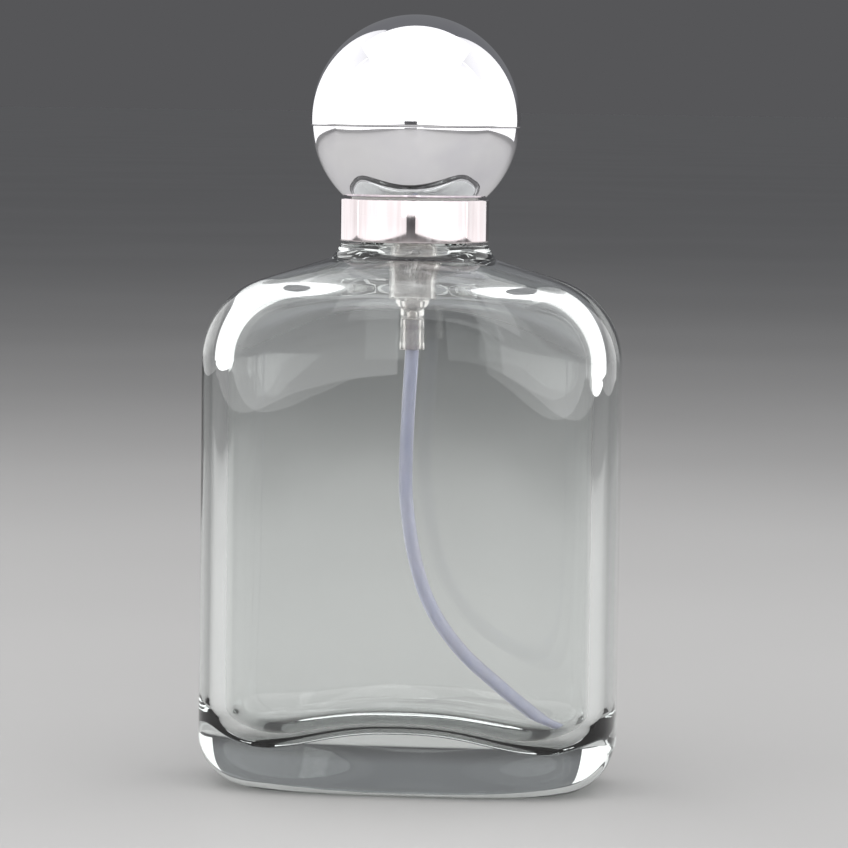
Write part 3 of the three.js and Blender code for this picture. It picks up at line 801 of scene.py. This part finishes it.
insert_outside = COLLAR["radius"] - COLLAR["wall"] - 0.1
insert_bore = FERRULE["radius"] + 0.1
insert_neck = UPSTAND["outside"] + 0.6
ledge = ferrule_plate + FERRULE["wall"] + 0.1
stand_for(
    turned(
        "collar_insert_ring",
        eased(
            [
                (insert_bore, COLLAR["bottom"] + 0.3),
                (insert_outside, COLLAR["bottom"] + 0.3),
                (insert_outside, COLLAR["top"] - COLLAR["wall"] - 0.1),
                (insert_neck, COLLAR["top"] - COLLAR["wall"] - 0.1),
                (insert_neck, ledge + 0.5),
                (UPSTAND["outside"], ledge + 0.5),
                (UPSTAND["outside"], UPSTAND["top"] - 1.7),
                (UPSTAND["snap_bead"], UPSTAND["top"] - 1.4),
                (UPSTAND["outside"], UPSTAND["top"] - 1.1),
                (UPSTAND["outside"], UPSTAND["top"]),
                (UPSTAND["inside"], UPSTAND["top"]),
                (UPSTAND["inside"], ledge),
                (insert_bore, ledge),
            ],
            0.15,
        ),
        WHITE,
    ),
    "flask",
    "collar_insert",
)


# ---- Pump ----------------------------------------------------------------------------------------

CAGE = {"radius": 2.3, "bowl_z": 66.6, "bore": 1.15, "foot_bore": 1.1, "foot_z": 65}
CAGE_LIP = {"bore": 0.75, "top": 66.9}  # keeps the intake ball in its cage
BALL_SEAT = {"bore": 0.5, "z": 64.3}
PLUG = {"from": 75.2, "full": 75.8}  # the barrel widens here to centre itself in the neck
INTAKE_BALL = {"radius": 0.9, "z": 65.14}
SOCKET_GROOVES = (61.9, 63.6)  # two shallow witness lines round the tube socket


def housing_outline():
    """The barrel and valve cage of the pump, down to the socket that takes the dip tube."""
    r, b = TUBE_SOCKET["radius"], TUBE_SOCKET["bottom"]
    band = r + 0.09
    socket = [(TUBE_SOCKET["bore"] + 0.15, b), (band, b), (band, b + 1.15), (r, b + 1.3)]
    for z in SOCKET_GROOVES:
        socket += [(r, z - 0.16), (r - 0.18, z), (r, z + 0.16)]
    bowl = arc(0, CAGE["bowl_z"], CAGE["radius"], -46, 0, 8)
    outside = socket + [(r, BALL_SEAT["z"])] + bowl + [(CAGE["radius"], BARREL["step"])]
    plug_radius = NECK_BORE - 0.3
    barrel = [
        (BARREL["radius"], BARREL["step"]),
        (BARREL["radius"], PLUG["from"]),
        (plug_radius, PLUG["full"]),
        (plug_radius, FLANGE["bottom"]),
        (FLANGE["radius"], FLANGE["bottom"]),
        (FLANGE["radius"], FLANGE["top"]),
    ]
    bore = [
        (BARREL["bore"], FLANGE["top"]),
        (BARREL["bore"], BARREL["floor"]),
        (CAGE_LIP["bore"], BARREL["floor"]),
        (CAGE_LIP["bore"], CAGE_LIP["top"]),
        (CAGE["bore"], CAGE["bowl_z"]),
        (CAGE["foot_bore"], CAGE["foot_z"]),
        (BALL_SEAT["bore"], BALL_SEAT["z"]),
        (BALL_SEAT["bore"], TUBE_SOCKET["stop"]),
        (TUBE_SOCKET["bore"], TUBE_SOCKET["stop"]),
        (TUBE_SOCKET["bore"], b + 0.4),
    ]
    return eased(outside + barrel + bore, 0.12, 3)


stand_for(
    turned("housing", housing_outline(), MILKY, SMALL_TURN_STEPS), "flask", "pump_housing"
)

TURRET = {"radius": 4.2, "bore": 2.65, "bottom": 79.85, "top": 82.05, "ceiling": 81, "stem_hole": 1.6}
TOP_SEAL = {"bore": 2.7, "bottom": 79.25, "top": 79.8}

stand_for(
    turned(
        "top_seal",
        eased(
            [
                (TOP_SEAL["bore"], TOP_SEAL["bottom"]),
                (TURRET["radius"], TOP_SEAL["bottom"]),
                (TURRET["radius"], TOP_SEAL["top"]),
                (TOP_SEAL["bore"], TOP_SEAL["top"]),
            ],
            0.1,
        ),
        RUBBER,
        SMALL_TURN_STEPS,
    ),
    "flask",
    "turret_seal",
)

stand_for(
    turned(
        "turret",
        eased(
            [
                (TURRET["bore"], TURRET["bottom"]),
                (TURRET["radius"], TURRET["bottom"]),
                (TURRET["radius"], TURRET["top"]),
                (TURRET["stem_hole"], TURRET["top"]),
                (TURRET["stem_hole"], TURRET["ceiling"]),
                (TURRET["bore"], TURRET["ceiling"]),
            ],
            0.12,
        ),
        WHITE,
        SMALL_TURN_STEPS,
    ),
    "flask",
    "turret_cap",
)

# The dip tube leaves its socket straight, bows a little to the left and sweeps into the right-hand
# bottom corner.
DIP_TUBE_ROUTE = [
    (0, 63.1),
    (0, 59),
    (-0.35, 52),
    (-0.6, 45),
    (-0.5, 38.8),
    (0.75, 30.8),
    (3.1, 24.2),
    (7.1, 18.6),
    (12.3, 14),
    (17, 10.3),
    (21.2, 7),
]
DIP_TUBE = {"radius": 0.94, "bore": 0.5}


def dip_tube():
    chain = bpy.data.meshes.new("dip_tube_chain")
    points = [(x * MM, 0, z * MM) for x, z in DIP_TUBE_ROUTE]
    chain.from_pydata(points, [(i, i + 1) for i in range(len(points) - 1)], [])
    made = grown(
        "dip_tube_hose",
        hose_tree(),
        {"Radius": DIP_TUBE["radius"] * MM, "Rings": 150, "Sides": 32, "Material": TUBING},
        chain,
    )
    wall = made.modifiers.new("wall", "SOLIDIFY")
    wall.thickness = (DIP_TUBE["radius"] - DIP_TUBE["bore"]) * MM
    wall.offset = -1
    wall.use_even_offset = True
    return made


stand_for(dip_tube(), "flask", "dip_tube")

coil = coil_tree()


def spring(name, mean, wire, turns, bottom, top):
    sizes = {"Radius": mean, "Wire": wire / 2, "Bottom": bottom, "Top": top}
    values = {label: size * MM for label, size in sizes.items()}
    return grown(name, coil, {**values, "Turns": float(turns), "Material": WIRE})


STEM_SPRING = {"mean": 1.9, "wire": 0.34, "turns": 5, "bottom": 68.05, "top": 74.15}
PISTON_SPRING = {"mean": 1.95, "wire": 0.28, "turns": 4, "bottom": 77.55, "top": 80.25}


def shorten(piece):
    """Gives the spring its own copy of its mesh; the coil keeps the length it was built with."""
    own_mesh(piece)


stem_spring = stand_for(spring("stem_spring", **STEM_SPRING), "flask", "return_spring")
shorten(stem_spring)
piston_spring = stand_for(spring("piston_spring", **PISTON_SPRING), "stem", "valve_spring")
shorten(piston_spring)

ball_outline = arc(0, INTAKE_BALL["z"], INTAKE_BALL["radius"], -90, 90, 24)
stand_for(turned("valve_ball", ball_outline, WIRE, 40), "intake_ball", "intake_ball")

CORE = {"tip": 0.9, "tip_z": 73, "flange": 2.3, "bottom": 74.2, "top": 74.7, "spigot": 0.55}
CORE_SPIGOT_TOP = 76.8
PISTON = {"bore": 1.56, "lip": 2.51, "waist": 2.21, "bottom": 74.85, "top": 77.5}
PISTON_LIP_HEIGHT = 0.8

stand_for(
    turned(
        "core",
        eased(
            [
                (0, CORE["tip_z"]),
                (CORE["tip"], CORE["tip_z"]),
                (CORE["tip"] + 0.3, CORE["bottom"]),
                (CORE["flange"], CORE["bottom"]),
                (CORE["flange"], CORE["top"]),
                (CORE["spigot"], CORE["top"]),
                (CORE["spigot"], CORE_SPIGOT_TOP - 0.2),
                (0, CORE_SPIGOT_TOP),
            ],
            0.1,
        ),
        WHITE,
        SMALL_TURN_STEPS,
    ),
    "stem",
    "piston_core",
)

stand_for(
    turned(
        "piston_seal",
        eased(
            [
                (PISTON["bore"], PISTON["bottom"]),
                (PISTON["lip"] - 0.25, PISTON["bottom"]),
                (PISTON["lip"], PISTON["bottom"] + 0.2),
                (PISTON["waist"], PISTON["bottom"] + PISTON_LIP_HEIGHT),
                (PISTON["waist"], PISTON["top"] - PISTON_LIP_HEIGHT),
                (PISTON["lip"], PISTON["top"] - 0.2),
                (PISTON["lip"] - 0.25, PISTON["top"]),
                (PISTON["bore"], PISTON["top"]),
            ],
            0.08,
        ),
        WHITE,
        SMALL_TURN_STEPS,
    ),
    "piston",
    "piston",
)

stand_for(
    turned(
        "hollow_stem",
        eased(
            [
                (STEM["bore"], STEM["bottom"]),
                (STEM["radius"], STEM["bottom"]),
                (STEM["radius"], STEM["shoulder_z"]),
                (STEM["shoulder"], STEM["shoulder_z"]),
                (STEM["shoulder"], TURRET["ceiling"] - 0.05),
                (STEM["radius"], TURRET["ceiling"] - 0.05),
                (STEM["radius"], STEM["top"]),
                (STEM["bore"], STEM["top"]),
            ],
            0.15,
        ),
        WHITE,
        SMALL_TURN_STEPS,
    ),
    "stem",
    "stem",
)


# ---- Actuator ------------------------------------------------------------------------------------

SEAT_GAP = 0.05
SWIRL_POST = 1.1  # radius of the post that the nozzle's cup is pressed over
NOZZLE_BACK = 3.2  # where the nozzle's bore ends, from the axis


def button():
    """The moulded button: a socket for the stem, and passages from there to the nozzle's bore."""
    outside = ACTUATOR["radius"] - ACTUATOR["wall"] - SEAT_GAP
    top = ACTUATOR["top"] - ACTUATOR["wall"] - SEAT_GAP
    socket, socket_top = STEM["radius"] + SEAT_GAP, STEM["top"] + 0.1
    feed = 1.55  # height of the cross passage above the axis of the spray
    blank = turned(
        "spray_button",
        eased(
            [
                (socket, ACTUATOR["skirt_top"]),
                (ACTUATOR["skirt_bore"], ACTUATOR["skirt_top"]),
                (ACTUATOR["skirt_bore"], ACTUATOR["bottom"] + 0.2),
                (outside, ACTUATOR["bottom"] + 0.2),
                (outside, top),
                (0, top),
                (0, socket_top),
                (socket, socket_top),
            ],
            0.25,
        ),
        WHITE,
    )
    cross = rod(0.35, -0.3, NOZZLE_BACK + 0.2, True)
    cross.data.transform(Matrix.Translation((0, 0, feed * MM)))
    return carved(
        blank,
        ("DIFFERENCE", rod(NOZZLE["radius"] + SEAT_GAP, NOZZLE_BACK, ACTUATOR["radius"] + 1, True)),
        ("UNION", rod(SWIRL_POST, NOZZLE_BACK - 0.2, NOZZLE["front"] - 1.4, True)),
        ("DIFFERENCE", rod(0.5, socket_top - 0.2, NOZZLE["z"] + feed + 0.4)),
        ("DIFFERENCE", cross),
    )


def sleeve():
    """The drawn sleeve over the button: a shallow dished top, a rolled edge, a window for the nozzle."""
    radius, wall, top = ACTUATOR["radius"], ACTUATOR["wall"], ACTUATOR["top"]
    dish = [(radius - 1.4 - 0.5 * i, top - 0.15 * min(i / 4, 1) ** 2) for i in range(5)]
    shell = turned(
        "spray_sleeve",
        eased(
            [(radius - wall, ACTUATOR["bottom"]), (radius, ACTUATOR["bottom"]), (radius, top)]
            + dish
            + [(0, top - 0.15), (0, top - wall), (radius - wall, top - wall)],
            0.38,
            7,
        ),
        SHEET_METAL,
        192,
    )
    return carved(shell, ("DIFFERENCE", rod(NOZZLE["radius"] + 0.3, 3, radius + 1, True)))


def nozzle():
    """The spray cup: a hollow back that fits over the post, and a coned face down to a fine orifice."""
    radius, length, orifice = NOZZLE["radius"], NOZZLE["length"], 0.2
    cup = SWIRL_POST + 2 * SEAT_GAP
    face = length - 1.25
    outline = eased(
        [
            (orifice, face),
            (cup, face),
            (cup, 0),
            (radius, 0),
            (radius, length),
            (0.7, length),
            (orifice, length - 0.45),
        ],
        0.12,
    )
    back = NOZZLE["front"] - length
    return turned("spray_nozzle", [(r, h + back) for r, h in outline], WHITE, SMALL_TURN_STEPS, True)


stand_for(button(), "actuator", "actuator_button")
stand_for(sleeve(), "actuator", "actuator_sleeve")
stand_for(nozzle(), "actuator", "nozzle_insert")


# ---- Ball cap ------------------------------------------------------------------------------------


def angle_at(radius, z):
    """The angle at which a sphere about the cap's centre crosses a level."""
    return math.degrees(math.asin((z - BALL["centre"]) / radius))


ball_inside = BALL["radius"] - BALL["wall"]
lower_radius = BALL["radius"] - BALL["overhang"]
lower_inside = lower_radius - BALL["wall"]


def upper_shell_outline():
    centre = BALL["centre"]
    outer = arc(0, centre, BALL["radius"], angle_at(BALL["radius"], BALL["seam"]), 90, 60)
    inner = arc(0, centre, ball_inside, 90, angle_at(ball_inside, BALL["seam"]), 40)
    outer[-1] = (0, centre + BALL["radius"])
    inner[0] = (0, centre + ball_inside)
    return eased(outer + inner, 0.12)


def lower_shell_outline():
    rim = BALL["seam"] - 0.05
    bottom = BALL["bottom"]
    mouth = LINER["radius"] + 0.1
    tongue_outside, tongue_inside, tongue_top = ball_inside - 0.15, ball_inside - 0.75, BALL["seam"] + 1.4
    centre = BALL["centre"]
    mouth_top = centre - math.sqrt(lower_inside**2 - mouth**2)
    tongue_root = centre - math.sqrt(lower_inside**2 - tongue_inside**2)
    outer = arc(0, centre, lower_radius, angle_at(lower_radius, bottom), angle_at(lower_radius, rim), 40)
    inner = arc(
        0, centre, lower_inside, angle_at(lower_inside, tongue_root), angle_at(lower_inside, mouth_top), 24
    )
    tongue = [(tongue_outside, rim), (tongue_outside, tongue_top), (tongue_inside, tongue_top)]
    return eased([(mouth, bottom)] + outer + tongue + inner, 0.1)


stand_for(
    turned("ball_upper", upper_shell_outline(), CHROME, 192), "cap", "cap_upper_shell"
)
stand_for(
    turned("ball_lower", lower_shell_outline(), CHROME, 192), "cap", "cap_lower_shell"
)

liner_bottom = BALL["bottom"] + 0.1
thimble_bore = THIMBLE["radius"] - LINER["wall"]
stand_for(
    turned(
        "grip_liner",
        eased(
            [
                (LINER["radius"] - 0.4, liner_bottom),
                (LINER["radius"], liner_bottom),
                (LINER["radius"], LINER_RING["bottom"]),
                (LINER["radius"] + LINER_RING["reach"], LINER_RING["bottom"]),
                (LINER["radius"] + LINER_RING["reach"], LINER_RING["top"]),
                (LINER["radius"], LINER_RING["top"]),
                (LINER["radius"], THIMBLE["shoulder"]),
                (THIMBLE["radius"], THIMBLE["bottom"]),
                (THIMBLE["radius"], LINER["ceiling"] + LINER["wall"]),
                (0, LINER["ceiling"] + LINER["wall"]),
                (0, LINER["ceiling"]),
                (thimble_bore, LINER["ceiling"]),
                (thimble_bore, THIMBLE["shoulder"]),
                (LINER["grip"], LINER["grip_top"]),
                (LINER["grip"], LINER["grip_bottom"]),
                (LINER["radius"] - 0.4, LINER["grip_bottom"] - 0.15),
            ],
            0.2,
        ),
        WHITE,
    ),
    "cap",
    "cap_liner",
)

LINER_RIBS = {"count": 18, "width": 0.5, "reach": 0.1}
ribs = grown(
    "liner_ribs",
    rib_tree(),
    {
        "Ribs": LINER_RIBS["count"],
        "Bore": thimble_bore * MM,
        "Width": LINER_RIBS["width"] * MM,
        "Reach": LINER_RIBS["reach"] * MM,
        "Bottom": THIMBLE["bottom"] * MM,
        "Top": (LINER["ceiling"] + 0.2) * MM,
        "Material": WHITE,
    },
)
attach(ribs, "cap")


# ---- Floor, light and camera ---------------------------------------------------------------------


def stage_floor():
    """A plain pale floor, as a disc thirty metres in radius."""
    radius, sides = 30000, 96
    rim = [
        (radius * math.cos(2 * math.pi * i / sides), radius * math.sin(2 * math.pi * i / sides), 0)
        for i in range(sides)
    ]
    material, tree, shader, place = new_material("studio_floor_painted_board", **{"Roughness": 0.55})
    tree.links.new(
        tinted(tree, noise(tree, place, 240, 2), "A8A7A6", "ADACAB"), shader.inputs["Base Color"]
    )
    made = finish_mesh("studio_floor", rim, [tuple(range(sides))], material)


stage_floor()


def studio_room():
    """Dim grey surroundings: as dark as the far floor at the horizon, and a little lighter above it."""
    world = bpy.data.worlds.new("studio_room")
    bpy.context.scene.world = world
    world.use_nodes = True
    tree = world.node_tree
    height = add_node(
        tree,
        "ShaderNodeSeparateXYZ",
        {"Vector": add_node(tree, "ShaderNodeTexCoord").outputs["Generated"]},
    )
    rise = add_node(
        tree,
        "ShaderNodeMapRange",
        {"Value": height.outputs["Z"], "From Min": 0.03, "From Max": 0.14},
        interpolation_type="SMOOTHSTEP",
    )
    wall = add_node(
        tree,
        "ShaderNodeMix",
        {0: rise.outputs["Result"], 6: srgb("565658"), 7: srgb("77787B")},
        data_type="RGBA",
    )
    tree.links.new(wall.outputs[2], tree.nodes["Background"].inputs["Color"])


studio_room()

CAMERA = {"azimuth": 6, "distance": 560, "height": 92.5, "lens": 177.1}
CAMERA_AIM = {"pitch": 4.45, "yaw": 0.167, "roll": 0.75}  # degrees
SOFTBOX_SPREAD = math.radians(150)  # a panel's light fades out before it could draw a line on the floor


def bearing(azimuth, distance, height):
    """A place at an azimuth in degrees, counted as the views count it: 0 in front, positive towards +X."""
    a = math.radians(azimuth)
    return Vector((distance * math.sin(a), -distance * math.cos(a), height)) * MM


def softbox(name, azimuth, distance, height, width, tall, watts, aim_height):
    """A soft panel of light that faces the bottle. Its azimuth is counted from the camera's."""
    data = bpy.data.lights.new(name, "AREA")
    data.shape = "RECTANGLE"
    data.size, data.size_y = width * MM, tall * MM
    data.energy = watts
    data.spread = SOFTBOX_SPREAD
    light = bpy.data.objects.new(name, data)
    light.location = bearing(CAMERA["azimuth"] + azimuth, distance, height)
    aim = Vector((0, 0, aim_height * MM)) - light.location
    light.rotation_euler = aim.to_track_quat("-Z", "Y").to_euler()
    light.visible_camera = False
    bpy.context.scene.collection.objects.link(light)


def lit(width, tall, radiance):
    """The power, in watts, that gives a panel of this size this brightness."""
    return radiance * math.pi * width * tall * MM * MM


for name, azimuth, distance, height, width, tall, radiance, aim_height in (
    ("panel_left", -55, 430, 470, 800, 900, 1.1, 470),
    ("panel_back_left", -126, 560, 450, 640, 860, 0.9, 450),
    ("panel_right", 45, 430, 470, 820, 900, 1.22, 470),
    ("panel_back_right", 116, 500, 450, 560, 860, 0.9, 450),
    ("panel_front", -5, 640, 540, 330, 920, 1.1, 540),
    ("panel_above", 0, 50, 920, 1300, 1300, 1.1, 0),
):
    softbox(name, azimuth, distance, height, width, tall, lit(width, tall, radiance), aim_height)


def add_camera():
    data = bpy.data.cameras.new("camera")
    data.sensor_width = 36
    data.lens = CAMERA["lens"]
    data.clip_start, data.clip_end = 0.01, 60
    camera = bpy.data.objects.new("camera", data)
    camera.location = bearing(CAMERA["azimuth"], CAMERA["distance"], CAMERA["height"])
    camera.rotation_mode = "QUATERNION"
    heading = math.radians(CAMERA["azimuth"] - CAMERA_AIM["yaw"])
    pitch = math.radians(CAMERA_AIM["pitch"])
    level = math.cos(pitch)
    ahead = Vector((-math.sin(heading) * level, math.cos(heading) * level, -math.sin(pitch)))
    roll = Quaternion((0, 0, 1), math.radians(CAMERA_AIM["roll"]))
    camera.rotation_quaternion = ahead.to_track_quat("-Z", "Y") @ roll
    bpy.context.scene.collection.objects.link(camera)
    bpy.context.scene.camera = camera


add_camera()

bpy.context.scene.view_settings.view_transform = "Standard"
